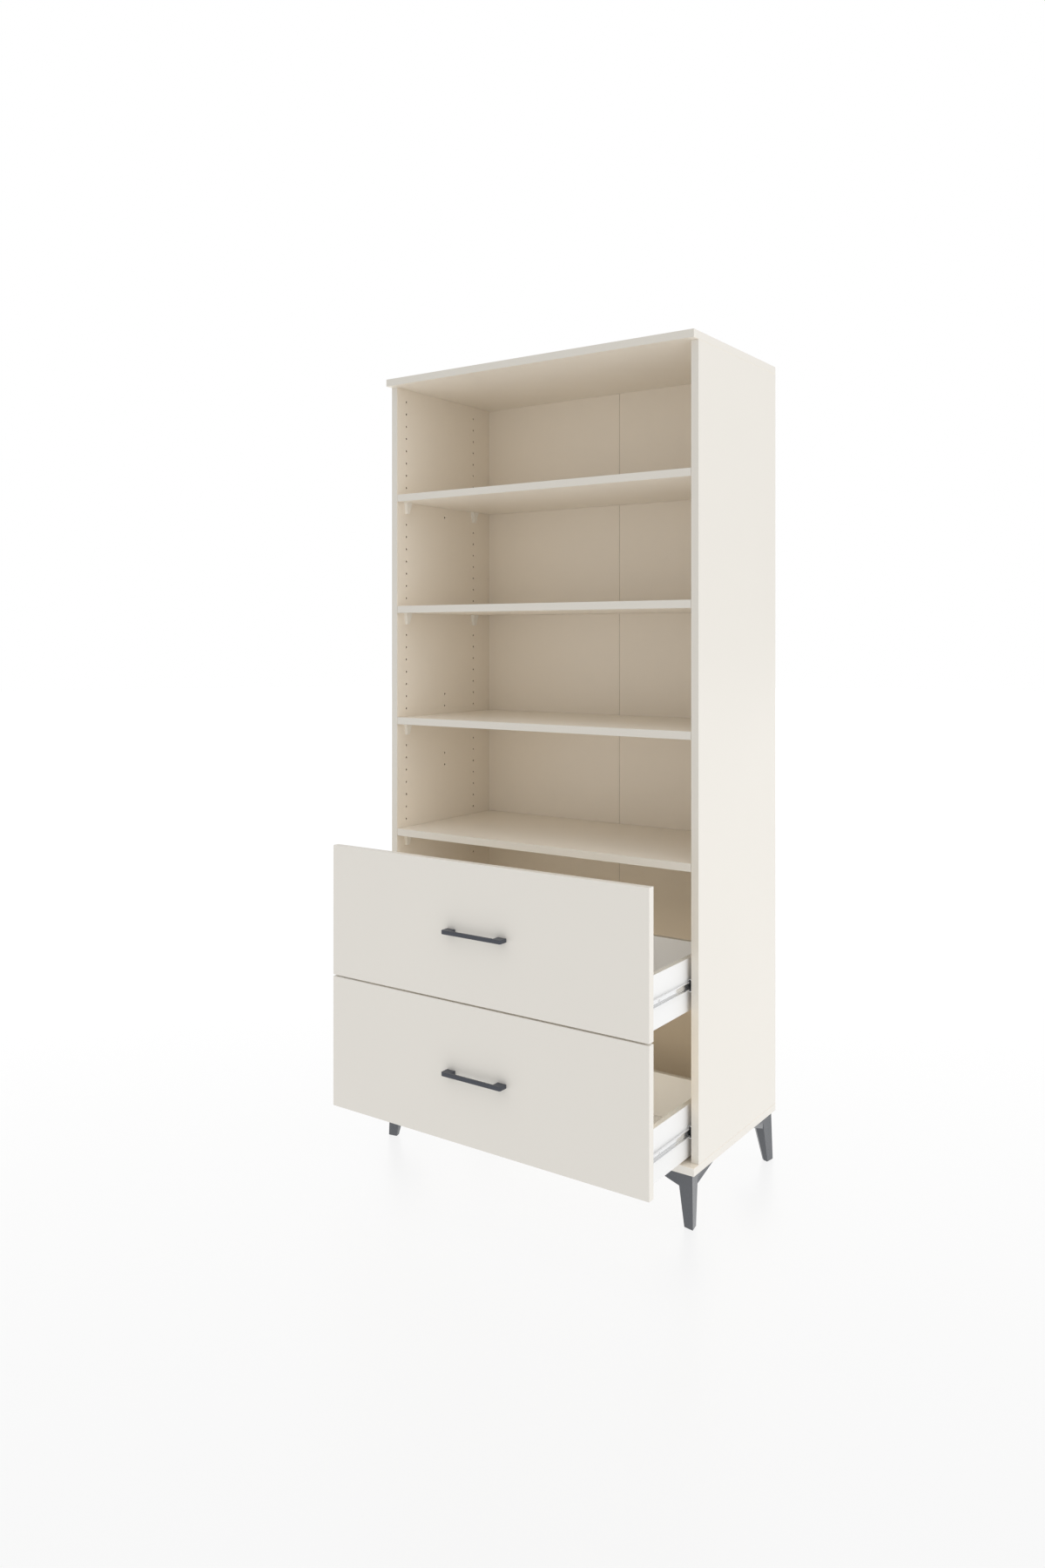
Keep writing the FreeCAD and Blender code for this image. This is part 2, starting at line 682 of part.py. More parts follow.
def drill_web(body, side, web_at, sheet, places, diameter):
    low = slide_x(side, web_at)
    holes = sketch_on(body, body.Name + "Holes", "YZ_Plane", low)
    circles(holes, [(y, "0") for y in places], diameter)
    pocket(body, holes, sheet, along_normal=(side == "left") == (web_at == "0"))


def cabinet_slides():
    screws = []
    stops = []
    for level, row in SLIDE_ROWS.items():
        height = row_height(row)
        for side in ("left", "right"):
            into = "-x" if side == "left" else "+x"
            body = channel(f"{level}_{side}_cabinet_slide", side, f"{SIDE_FRONT} + slide_setback", height,
                           "slide_depth", "0", "slide_height / 2", "slide_sheet", SLIDE_LENGTH, "slide_lip")
            columns = {"Front": FRONT_COLUMN, "Rear": REAR_COLUMN}
            local = [f"{column} - {SIDE_FRONT} - slide_setback" for column in columns.values()]
            drill_web(body, side, "0", "slide_sheet", local, "slide_screw_diameter + 2 * fit_play")
            for end, column in columns.items():
                seat = (slide_x(side, "slide_sheet"), column, height)
                screws.append(screw(f"SlideScrew{level}{side}{end}", seat, into, "slide_screw",
                                    "slide_sheet + slide_screw_bite"))
            stops += slide_stops(level, side, height)
    group("cabinet_slide_screws", screws)
    group("slide_stops", stops)


def slide_stops(level, side, height):
    """Plastic stops at the mouth of a cabinet member, above and below the drawer member."""
    near = slide_x(side, "slide_sheet + stop_depth") if side == "right" else slide_x(side, "slide_sheet")
    room = "(slide_height / 2 - slide_sheet - runner_height / 2 - stop_play)"
    size = ("stop_depth", "stop_length", room)
    front = f"{SIDE_FRONT} + slide_setback"
    above_runner = f"{height} + runner_height / 2 + stop_play"
    over_lower_lip = f"{height} - slide_height / 2 + slide_sheet"
    upper = block(f"StopUpper{level}{side}", (near, front, above_runner), size)
    lower = block(f"StopLower{level}{side}", (near, front, over_lower_lip), size)
    return [upper, lower]


def ball_cages(level):
    height = row_height(SLIDE_ROWS[level])
    start = f"({SIDE_FRONT} + slide_setback + stop_length + cage_end_play + short_of_stop / 2)"
    strips = []
    balls = []
    raceway = "((slide_height / 2 - slide_sheet + runner_height / 2) / 2)"
    spacing = f"((cage_length - 2 * ball_end) / {BALLS_PER_ROW - 1})"
    for side in ("left", "right"):
        web = "(slide_sheet + cage_stand)"
        body = channel(f"Cage{level}{side}", side, start, height, f"{web} + cage_depth", web,
                       "cage_height / 2", "cage_sheet", "cage_length")
        holes = sketch_on(body, f"Cage{level}{side}BallHoles", "XY_Plane", "cage_height / 2")
        places = [f"(ball_end + {number} * {spacing})" for number in range(BALLS_PER_ROW)]
        depth = slide_x(side, "ball_offset")
        circles(holes, [(depth, place) for place in places], "ball_diameter + 2 * ball_play")
        pocket(body, holes, "cage_height")
        strips.append(body)
        for number, place in enumerate(places, start=1):
            for race, end in (("Top", "+"), ("Low", "-")):
                ball = doc.addObject("Part::Sphere", f"Ball{level}{side}{number}{race}")
                ball.setExpression("Radius", bound("ball_diameter / 2"))
                balls.append(put(ball, (depth, f"{start} + {place}", f"{height} {end} {raceway}")))
    group(f"{level}_drawer_ball_cages", strips)
    group(f"{level}_drawer_balls", balls)


# Drawers

def drawer(level):
    row = SLIDE_ROWS[level]
    middle = row_height(row)
    front_low = f"({BOTTOM_TOP} + front_foot_gap + ({row} - slide_row) * hole_pitch)"
    box_low = f"({middle} - box_height / 2)"
    corner = (f"-{FRONT_WIDTH} / 2", f"{FRONT_REAR_FACE} - front_thickness", front_low)
    front = Board(f"{level}_drawer_front", corner, (FRONT_WIDTH, "front_thickness", FRONT_HEIGHT))
    box = drawer_box(level, box_low)
    handle(level, front, f"({front_low} + {FRONT_HEIGHT} / 2)")
    fasten_front(level, front, box["box_front"], middle)
    runners(level, box, middle)


def drawer_box(level, box_low):
    """Sides run the whole length; the box front and back stand between them over a grooved bottom."""
    inside = f"({BOX_HALF} - box_board)"
    box_rear = f"({FRONT_REAR_FACE} + {BOX_LENGTH})"
    boards = {
        "left_side": Board(f"{level}_drawer_left_side", (f"-{BOX_HALF}", FRONT_REAR_FACE, box_low),
                           ("box_board", BOX_LENGTH, "box_height")),
        "right_side": Board(f"{level}_drawer_right_side", (inside, FRONT_REAR_FACE, box_low),
                            ("box_board", BOX_LENGTH, "box_height")),
        "box_front": Board(f"{level}_drawer_box_front", (f"-{inside}", FRONT_REAR_FACE, box_low),
                           (f"2 * {inside}", "box_board", "box_height")),
        "back": Board(f"{level}_drawer_back", (f"-{inside}", f"{box_rear} - box_board", box_low),
                      (f"2 * {inside}", "box_board", "box_height")),
    }
    tongue = "(bottom_groove - groove_play)"
    bottom_low = f"({box_low} + bottom_lift)"
    inner_front = f"({FRONT_REAR_FACE} + box_board)"
    inner_rear = f"({box_rear} - box_board)"
    Board(f"{level}_drawer_bottom", (f"-({inside} + {tongue})", f"{inner_front} - {tongue}", bottom_low),
          (f"2 * ({inside} + {tongue})", f"{inner_rear} - {inner_front} + 2 * {tongue}", "bottom_thickness"))
    slot_low = f"{bottom_low} - groove_play"
    slot_high = f"{bottom_low} + bottom_thickness + groove_play"
    along = (f"{inner_front} - bottom_groove", f"{inner_rear} + bottom_groove")
    across = (f"-{inside}", inside)
    for name, into, face, (start, end) in (
        ("left_side", "-x", f"-{inside}", along),
        ("right_side", "+x", inside, along),
        ("box_front", "-y", inner_front, across),
        ("back", "+y", inner_rear, across),
    ):
        boards[name].groove(into, face, (start, slot_low), (end, slot_high), "bottom_groove")
    box_dowels(level, boards, box_low, inside, box_rear)
    return boards


def box_dowels(level, boards, box_low, inside, box_rear):
    dowels = []
    heights = [f"{box_low} + box_dowel_inset", f"{box_low} + box_height - box_dowel_inset"]
    rows = {"box_front": f"{FRONT_REAR_FACE} + box_board / 2", "back": f"{box_rear} - box_board / 2"}
    hole = "box_dowel_diameter + 2 * fit_play"
    for name, y in rows.items():
        places = [(y, z) for z in heights]
        for side, into, level_x in (("left_side", "-x", f"-{inside}"), ("right_side", "+x", inside)):
            boards[side].drill(into, level_x, places, hole, "box_dowel_bite + fit_play")
            boards[name].drill(against(into), level_x, places, hole, "box_dowel_depth + fit_play")
            for number, (place_y, z) in enumerate(places, start=1):
                start = moved((level_x, place_y, z), into, "box_dowel_bite")
                dowels.append(rod(f"BoxDowel{level}{name}{side}{number}", start, against(into),
                                  "box_dowel_diameter", "box_dowel_bite + box_dowel_depth"))
    group(f"{level}_drawer_box_dowels", dowels)


def fasten_front(level, front, box_front, middle):
    seat = f"({FRONT_REAR_FACE} + box_board)"
    reach = f"({FRONT_WIDTH} / 2 - front_screw_inset)"
    hole = "front_screw_diameter + 2 * fit_play"
    heights = [f"{middle} - front_screw_rise", f"{middle} + front_screw_rise"]
    places = [(f"{side}{reach}", height) for side in ("-", "") for height in heights]
    front.drill("-y", FRONT_REAR_FACE, places, hole, "front_screw_bite + fit_play")
    box_front.drill("-y", seat, places, hole, "box_board + overrun")
    group(f"{level}_drawer_front_screws",
          [screw(f"FrontScrew{level}{number}", (x, seat, z), "-y", "front_screw",
                 "box_board + front_screw_bite")
           for number, (x, z) in enumerate(places, start=1)])


def handle(level, front, height):
    """A flat bar between two block posts, with cut outer corners."""
    label = f"{level}_drawer_handle"
    face = f"({FRONT_REAR_FACE} - front_thickness)"
    body = new_body(label, ("0", face, f"{height} - handle_height / 2"))
    outline = sketch_on(body, label + "Outline", "XY_Plane")
    right = [("handle_length / 2 - handle_post", "0"), ("handle_length / 2", "0"),
             ("handle_length / 2", "-handle_projection + handle_corner_cut"),
             ("handle_length / 2 - handle_corner_cut", "-handle_projection")]
    left = [(f"-({x})", y) for x, y in reversed(right)]
    behind_bar = "-handle_projection + handle_bar"
    post_inside = "(handle_length / 2 - handle_post)"
    polygon(outline, right + left + [(f"-{post_inside}", behind_bar), (post_inside, behind_bar)])
    pad(body, outline, "handle_height")
    ease_edges(body, "handle_ease")
    post = "((handle_length - handle_post) / 2)"
    posts = [f"-{post}", post]
    holes = sketch_on(body, label + "Holes", "XZ_Plane")
    circles(holes, [(x, "handle_height / 2") for x in posts], "handle_screw_diameter + 2 * fit_play")
    pocket(body, holes, "handle_screw_bite + fit_play", along_normal=True)
    places = [(x, height) for x in posts]
    front.drill("-y", FRONT_REAR_FACE, places, "handle_screw_diameter + 2 * fit_play",
                "front_thickness + overrun")
    group(f"{level}_drawer_handle_screws",
          [screw(f"HandleScrew{level}{number}", (x, FRONT_REAR_FACE, z), "-y", "handle_screw",
                 "front_thickness + handle_screw_bite")
           for number, (x, z) in enumerate(places, start=1)])


def runners(level, box, middle):
    """Drawer members of the slides, screwed to the box sides."""
    screws = []
    start = f"({FRONT_REAR_FACE} + runner_end)"
    length = f"({BOX_LENGTH} - 2 * runner_end)"
    for side, into in (("left", "+x"), ("right", "-x")):
        body = channel(f"{level}_drawer_{side}_slide", side, start, middle, "slide_room - runner_depth",
                       "slide_room", "runner_height / 2", "slide_sheet", length)
        places = ["runner_screw_front", f"{length} - runner_screw_rear"]
        drill_web(body, side, "slide_room", "slide_sheet", places, "runner_screw_diameter + 2 * fit_play")
        wall = slide_x(side, "slide_room")
        box[f"{side}_side"].drill(into, wall, [(f"{start} + {y}", middle) for y in places],
                                  "runner_screw_diameter + 2 * fit_play", "runner_screw_bite + fit_play")
        for number, y in enumerate(places, start=1):
            seat = (slide_x(side, "slide_room - slide_sheet"), f"{start} + {y}", middle)
            screws.append(screw(f"RunnerScrew{level}{side}{number}", seat, into, "runner_screw",
                                "slide_sheet + runner_screw_bite"))
    group(f"{level}_drawer_slide_screws", screws)


top_and_bottom()
side_panels()
back_panels()
shelves()
legs()
joinery()
cabinet_slides()
for drawer_level in SLIDE_ROWS:
    drawer(drawer_level)
    ball_cages(drawer_level)
doc.recompute()

# Checks, then one file per sub-part
failed = [item.Name for item in doc.Objects if {"Invalid", "Error"} & set(item.State)]
if failed:
    raise RuntimeError(f"failed objects: {failed}")

inner_pieces = {member for item in doc.Objects if item.TypeId == "Part::Compound" for member in item.Links}
subparts = [item for item in doc.Objects
            if item.TypeId in ("PartDesign::Body", "Part::Compound") and item not in inner_pieces]
for item in subparts:
    if item.Shape.isNull() or not item.Shape.isValid() or not item.Shape.Solids:
        raise RuntimeError(f"bad shape: {item.Label}")

os.makedirs("parts", exist_ok=True)
for item in subparts:
    item.Shape.exportStep(f"parts/{item.Label}.step")
print(f"{len(subparts)} sub-parts, {sum(len(item.Shape.Solids) for item in subparts)} solids")
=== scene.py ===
import json
import math

import bmesh
import bpy
from mathutils import Matrix, Vector

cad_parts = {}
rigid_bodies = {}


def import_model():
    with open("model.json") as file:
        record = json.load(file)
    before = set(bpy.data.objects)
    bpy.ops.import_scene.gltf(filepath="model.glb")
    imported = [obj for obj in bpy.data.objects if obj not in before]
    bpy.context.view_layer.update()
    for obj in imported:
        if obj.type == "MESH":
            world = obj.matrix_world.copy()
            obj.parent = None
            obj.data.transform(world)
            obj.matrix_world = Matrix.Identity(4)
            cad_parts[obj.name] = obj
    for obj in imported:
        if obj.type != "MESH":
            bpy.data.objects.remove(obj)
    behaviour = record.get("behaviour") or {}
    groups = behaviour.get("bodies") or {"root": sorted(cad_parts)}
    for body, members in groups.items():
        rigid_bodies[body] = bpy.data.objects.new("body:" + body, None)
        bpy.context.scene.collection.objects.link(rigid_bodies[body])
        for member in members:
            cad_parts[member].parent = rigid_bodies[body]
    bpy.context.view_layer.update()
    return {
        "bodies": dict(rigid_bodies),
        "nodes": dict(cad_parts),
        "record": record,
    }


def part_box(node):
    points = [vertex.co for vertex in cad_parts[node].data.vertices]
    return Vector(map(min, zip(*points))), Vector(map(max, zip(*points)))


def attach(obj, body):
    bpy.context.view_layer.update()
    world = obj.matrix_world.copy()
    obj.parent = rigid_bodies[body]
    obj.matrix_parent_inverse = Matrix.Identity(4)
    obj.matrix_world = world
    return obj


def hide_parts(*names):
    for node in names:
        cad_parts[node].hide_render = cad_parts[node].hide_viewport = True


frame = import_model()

# Bookcase with two bottom drawers: its finishes, its rounded fittings, the light and the camera.
# Metres; +X to the right, +Y to the back, +Z up; the floor is at zero.

nodes = frame["nodes"]
scene = bpy.context.scene
slot_of = {part["node"]: part["material_slot"] for part in frame["record"]["subparts"]}
body_of = {node: body
           for body, members in frame["record"]["behaviour"]["bodies"].items()
           for node in members}

LEVELS = ("upper", "lower")
SIDES = ("left", "right")
CORNERS = ("front_left", "front_right", "rear_right", "rear_left")
SHELVES = ("shelf_1", "shelf_2", "shelf_3", "shelf_4")


# Nodes of finishes and of the light

class Wire:
    """A value between nodes; sums, products and comparisons of wires add Math nodes."""

    def __init__(self, nodes, socket):
        self.nodes = nodes
        self.socket = socket

    def math(self, operation, first, second):
        return self.nodes.node("ShaderNodeMath", {"operation": operation}, {0: first, 1: second})

    def __add__(self, other):
        return self.math("ADD", self, other)

    def __mul__(self, other):
        return self.math("MULTIPLY", self, other)

    def __pow__(self, other):
        return self.math("POWER", self, other)

    def __gt__(self, other):
        return self.math("GREATER_THAN", self, other)

    def __lt__(self, other):
        return self.math("LESS_THAN", self, other)

    def at_least(self, other):
        return self.math("MAXIMUM", self, other)

    __radd__ = __add__
    __rmul__ = __mul__


class Nodes:
    """The node tree of a finish or of the studio's light."""

    def __init__(self, tree):
        self.tree = tree

    def feed(self, socket, value):
        if isinstance(value, Wire):
            self.tree.links.new(value.socket, socket)
        else:
            socket.default_value = value

    def node(self, kind, settings, sockets, output=0):
        """Adds a node, sets it up, feeds its sockets and gives one of its outputs."""
        made = self.tree.nodes.new(kind)
        for setting, value in settings.items():
            setattr(made, setting, value)
        for socket, value in sockets.items():
            self.feed(made.inputs[socket], value)
        return Wire(self, made.outputs[output])

    def vector(self, operation, first, second=(0.0, 0.0, 0.0), output=0):
        return self.node("ShaderNodeVectorMath", {"operation": operation}, {0: first, 1: second}, output)

    def along(self, axis, vector):
        return self.node("ShaderNodeSeparateXYZ", {}, {0: vector}, axis)


class Finish(Nodes):
    """A material: one Principled shader, its fixed values, and the nodes that feed it."""

    def __init__(self, name, fixed):
        self.material = bpy.data.materials.new(name)
        self.material.use_nodes = True
        super().__init__(self.material.node_tree)
        self.shader = self.tree.nodes["Principled BSDF"]
        for socket, value in fixed.items():
            self.set(socket, value)

    def set(self, socket, value):
        self.feed(self.shader.inputs[socket], value)

    def place(self):
        return self.node("ShaderNodeTexCoord", {}, {}, "Object")

    def facing(self, axis):
        """How far the surface faces along an axis of the bookcase, from -1 to 1."""
        return self.along(axis, self.node("ShaderNodeTexCoord", {}, {}, "Normal"))

    def within(self, box, margin):
        """1 where the surface is inside a board's box, as the walls of its holes and grooves are."""
        low, high = box
        reach = (high - low) / 2 - Vector((margin, margin, margin))
        offset = self.vector("ABSOLUTE", self.vector("SUBTRACT", self.place(), (low + high) / 2))
        beyond = self.vector("SUBTRACT", offset, reach)
        past_ends, past_edges, past_faces = [self.along(axis, beyond) for axis in "XYZ"]
        return past_ends.at_least(past_edges).at_least(past_faces) < 0.0

    def noise(self, scale, detail=2.0, stretch=(1.0, 1.0, 1.0)):
        place = self.vector("MULTIPLY", self.place(), stretch)
        sockets = {"Vector": place, "Scale": scale, "Detail": detail}
        return self.node("ShaderNodeTexNoise", {}, sockets, "Fac")

    def mix(self, share, first, second):
        return self.node("ShaderNodeMix", {"data_type": "RGBA"}, {0: share, 6: first, 7: second}, 2)

    def clouded(self, clouds, tone, dark_share):
        """A tone that clouds darken to a share of itself."""
        return self.mix(clouds, tone, rgb(*(channel * dark_share for channel in tone[:3])))

    def bump(self, height, depth, strength):
        sockets = {"Strength": strength, "Distance": depth, "Height": height}
        self.set("Normal", self.node("ShaderNodeBump", {}, sockets))


def rgb(red, green, blue):
    return (red, green, blue, 1.0)


def dress(piece, finish):
    piece.data.materials.clear()
    piece.data.materials.append(finish.material)


# Boards

CREAM = rgb(0.855, 0.821, 0.758)
# painted shade: a warmer tone for the faces inside the case, standing in for the warm light bounced about
# inside it
INSIDE_SHADE_CREAM = rgb(0.915, 0.834, 0.716)
# painted light: a lighter tone for the shelves and the underside of the top, standing in for light on these
# flat faces
PAINTED_LIGHT_CREAM = rgb(0.945, 0.880, 0.778)
# a darker tone for the faces of the case boards that look forward, their front edges
FRONT_EDGE_CREAM = rgb(0.765, 0.730, 0.662)
WHITE = rgb(0.920, 0.920, 0.915)
BASE_WHITE = rgb(0.870, 0.870, 0.860)
EDGE_BEIGE = rgb(0.700, 0.680, 0.630)
CHIP_LIGHT = rgb(0.520, 0.410, 0.285)
# the darker chips of the board core, also used as painted shade on the joint strip
CHIP_DARK_AND_SEAM_SHADE = rgb(0.330, 0.240, 0.155)
DARKER_FRONT_EDGES = ("Y", -1.0, FRONT_EDGE_CREAM)
CLOUD_DETAIL = 3.0
FINE_DETAIL = 4.0
PAPER_GLOSS = 0.5
PAPER_CLOUD_SCALE = 2.2
PAPER_CLOUD_SHARE = 0.97
CHIP_SCALE = 420.0
PEARL_SCALE = 650.0
PEARL_DEPTH = 0.00006
PEARL_STRENGTH = 0.35
PAPER_ROUGHNESS = 0.26
PEARL_ROUGHNESS = 0.10
CORE_ROUGHNESS = 0.35
FACING_SHARE = 0.7
CORE_MARGIN = 0.0007


def melamine(node, tone, patches=()):
    """Printed board with faint clouds of tone and a fine pearl grain; holes and grooves show its chips.
    A patch is an axis, a direction along it and the tone of the faces that look that way."""
    finish = Finish(f"{node}_melamine", {"Specular IOR Level": PAPER_GLOSS})
    clouds = finish.noise(PAPER_CLOUD_SCALE, CLOUD_DETAIL)
    paper = finish.clouded(clouds, tone, PAPER_CLOUD_SHARE)
    # A patch tones the faces that look one way; several patches are painted shade or painted light.
    for axis, sign, patch_tone in patches:
        patch = finish.clouded(clouds, patch_tone, PAPER_CLOUD_SHARE)
        paper = finish.mix(finish.facing(axis) * sign > FACING_SHARE, paper, patch)
    chips = finish.mix(finish.noise(CHIP_SCALE, FINE_DETAIL), CHIP_LIGHT, CHIP_DARK_AND_SEAM_SHADE)
    core = finish.within(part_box(node), CORE_MARGIN)
    finish.set("Base Color", finish.mix(core, paper, chips))
    pearl = finish.noise(PEARL_SCALE, CLOUD_DETAIL)
    finish.set("Roughness", PAPER_ROUGHNESS + PEARL_ROUGHNESS * pearl + CORE_ROUGHNESS * core)
    finish.bump(pearl, PEARL_DEPTH, PEARL_STRENGTH)
    dress(nodes[node], finish)


# painted shade: the inner faces of both sides take the warmer inside tone
melamine("left_side_panel", CREAM, [("X", 1.0, INSIDE_SHADE_CREAM), DARKER_FRONT_EDGES])
melamine("right_side_panel", CREAM, [("X", -1.0, INSIDE_SHADE_CREAM), DARKER_FRONT_EDGES])
# painted light: the underside of the top takes the lighter shelf tone
melamine("top_panel", CREAM, [("Z", -1.0, PAINTED_LIGHT_CREAM), DARKER_FRONT_EDGES])
# painted shade: the top of the bottom panel takes the warmer inside tone
melamine("bottom_panel", CREAM, [("Z", 1.0, INSIDE_SHADE_CREAM)])
# painted light: the shelves take the lighter tone all over
for shelf in SHELVES:
    melamine(shelf, PAINTED_LIGHT_CREAM, [DARKER_FRONT_EDGES])
# painted shade: the fronts of the back panels take the warmer inside tone
for half in SIDES:
    melamine(f"back_panel_{half}", CREAM, [("Y", -1.0, INSIDE_SHADE_CREAM)])
# painted shade: the strip's front face, seen through the seam of the back panels, is painted dark brown to
# darken the seam
melamine("back_joint_strip", CREAM, [("Y", -1.0, CHIP_DARK_AND_SEAM_SHADE)])
for level in LEVELS:
    melamine(f"{level}_drawer_front", CREAM)
    melamine(f"{level}_drawer_bottom", BASE_WHITE)
    for board in ("box_front", "left_side", "right_side", "back"):
        melamine(f"{level}_drawer_{board}", WHITE, [("Z", 1.0, EDGE_BEIGE)])


# Plastic, metal and dowels

SUPPORT_CREAM = rgb(0.94, 0.90, 0.82)
SUPPORT_ROUGHNESS = 0.32
LEG_ANTHRACITE = rgb(0.058, 0.0645, 0.078)
LEG_ROUGHNESS = 0.20
LEG_GLOSS = 0.8
LEG_LACQUER_SHARE = 0.5
STOP_BLACK = rgb(0.022, 0.022, 0.024)
STOP_ROUGHNESS = 0.4
MOULD_GLOSS = 0.5
MOULD_CLOUD_SCALE = 24.0
MOULD_CLOUD_SHARE = 0.9
MOULD_GRAIN_SCALE = 1400.0
MOULD_GRAIN_DEPTH = 0.00008
MOULD_GRAIN_STRENGTH = 0.4
MOULD_GRAIN_ROUGHNESS = 0.12
COAT_ANTHRACITE = rgb(0.054, 0.060, 0.077)
COAT_GLOSS = 0.5
COAT_CLOUD_SCALE = 60.0
COAT_CLOUD_SHARE = 0.88
COAT_PEEL_SCALE = 1800.0
COAT_PEEL_DEPTH = 0.00006
COAT_PEEL_STRENGTH = 0.5
COAT_ROUGHNESS = 0.32
COAT_PEEL_ROUGHNESS = 0.16
SHEET_ZINC = rgb(0.95, 0.955, 0.96)
SHEET_METAL_SHARE = 0.9
SHEET_ROUGHNESS = 0.10
SHEET_STREAKS = (900.0, 14.0, 900.0)
SHEET_STREAK_SHARE = 0.5
SHEET_CLOUD_SCALE = 90.0
SHEET_CLOUD_SHARE = 0.88
SHEET_STREAK_DEPTH = 0.00003
SHEET_STREAK_STRENGTH = 0.4
SHEET_STREAK_ROUGHNESS = 0.08
BALL_STEEL = rgb(0.86, 0.86, 0.87)
BALL_ROUGHNESS = 0.08
SCREW_ZINC = rgb(0.74, 0.74, 0.75)
SCREW_ROUGHNESS = 0.25
TURNED_CLOUD_SCALE = 700.0
TURNED_CLOUD_SHARE = 0.85
TURNED_CLOUD_DEPTH = 0.00003
TURNED_CLOUD_STRENGTH = 0.3
TURNED_CLOUD_ROUGHNESS = 0.15
BEECH_LIGHT = rgb(0.60, 0.40, 0.23)
BEECH_DARK = rgb(0.42, 0.25, 0.13)
BEECH_GLOSS = 0.3
BEECH_FIBRES = (700.0, 700.0, 60.0)
BEECH_FIBRE_DEPTH = 0.0001
BEECH_FIBRE_STRENGTH = 0.5
BEECH_ROUGHNESS = 0.55
BEECH_FIBRE_ROUGHNESS = 0.2


def moulded_plastic(name, tone, roughness, gloss=MOULD_GLOSS, lacquer_share=0.0):
    finish = Finish(name, {"Specular IOR Level": gloss, "Coat Weight": lacquer_share})
    clouds = finish.noise(MOULD_CLOUD_SCALE, CLOUD_DETAIL)
    finish.set("Base Color", finish.clouded(clouds, tone, MOULD_CLOUD_SHARE))
    grain = finish.noise(MOULD_GRAIN_SCALE)
    finish.set("Roughness", roughness + MOULD_GRAIN_ROUGHNESS * grain)
    finish.bump(grain, MOULD_GRAIN_DEPTH, MOULD_GRAIN_STRENGTH)
    return finish


def powder_coat(name, tone):
    finish = Finish(name, {"Specular IOR Level": COAT_GLOSS})
    finish.set("Base Color", finish.clouded(finish.noise(COAT_CLOUD_SCALE), tone, COAT_CLOUD_SHARE))
    peel = finish.noise(COAT_PEEL_SCALE)
    finish.set("Roughness", COAT_ROUGHNESS + COAT_PEEL_ROUGHNESS * peel)
    finish.bump(peel, COAT_PEEL_DEPTH, COAT_PEEL_STRENGTH)
    return finish


def rolled_sheet(name, tone, roughness):
    """Dull zinc-plated sheet: streaks along the slide and faint clouds."""
    finish = Finish(name, {"Metallic": SHEET_METAL_SHARE})
    streaks = finish.noise(1.0, CLOUD_DETAIL, SHEET_STREAKS)
    clouds = finish.noise(SHEET_CLOUD_SCALE, FINE_DETAIL)
    dulled = SHEET_STREAK_SHARE * streaks + (1 - SHEET_STREAK_SHARE) * clouds
    finish.set("Base Color", finish.clouded(dulled, tone, SHEET_CLOUD_SHARE))
    finish.set("Roughness", roughness + SHEET_STREAK_ROUGHNESS * streaks)
    finish.bump(streaks, SHEET_STREAK_DEPTH, SHEET_STREAK_STRENGTH)
    return finish


def turned_steel(name, tone, roughness):
    finish = Finish(name, {"Metallic": 1.0})
    clouds = finish.noise(TURNED_CLOUD_SCALE, CLOUD_DETAIL)
    finish.set("Base Color", finish.clouded(clouds, tone, TURNED_CLOUD_SHARE))
    finish.set("Roughness", roughness + TURNED_CLOUD_ROUGHNESS * clouds)
    finish.bump(clouds, TURNED_CLOUD_DEPTH, TURNED_CLOUD_STRENGTH)
    return finish


def beech_wood(name, light, dark):
    finish = Finish(name, {"Specular IOR Level": BEECH_GLOSS})
    fibres = finish.noise(1.0, FINE_DETAIL, BEECH_FIBRES)
    finish.set("Base Color", finish.mix(fibres, light, dark))
    finish.set("Roughness", BEECH_ROUGHNESS + BEECH_FIBRE_ROUGHNESS * fibres)
    finish.bump(fibres, BEECH_FIBRE_DEPTH, BEECH_FIBRE_STRENGTH)
    return finish


FITTING_FINISHES = {
    "beech": beech_wood("beech_dowel", BEECH_LIGHT, BEECH_DARK),
    "cream_plastic": moulded_plastic("cream_moulding", SUPPORT_CREAM, SUPPORT_ROUGHNESS),
    "anthracite_plastic": moulded_plastic("anthracite_moulding", LEG_ANTHRACITE, LEG_ROUGHNESS, LEG_GLOSS,
                                          LEG_LACQUER_SHARE),
    "anthracite_metal": powder_coat("anthracite_powder_coat", COAT_ANTHRACITE),
    "slide_steel": rolled_sheet("zinc_plated_sheet", SHEET_ZINC, SHEET_ROUGHNESS),
    "ball_steel": turned_steel("polished_ball", BALL_STEEL, BALL_ROUGHNESS),
    "zinc_screw": turned_steel("zinc_plated_screw", SCREW_ZINC, SCREW_ROUGHNESS),
    "black_plastic": moulded_plastic("black_moulding", STOP_BLACK, STOP_ROUGHNESS),
}
for node, slot in slot_of.items():
    if slot in FITTING_FINISHES:
        dress(nodes[node], FITTING_FINISHES[slot])


# Meshes that stand for nodes

WELD = 0.00001
FLAT_ANGLE = math.radians(1)
CREASE = math.radians(25)
SMOOTH_ANGLE = math.radians(40)
ROUND_STEPS = 3
ROUND_PROFILE_SHARE = 0.5


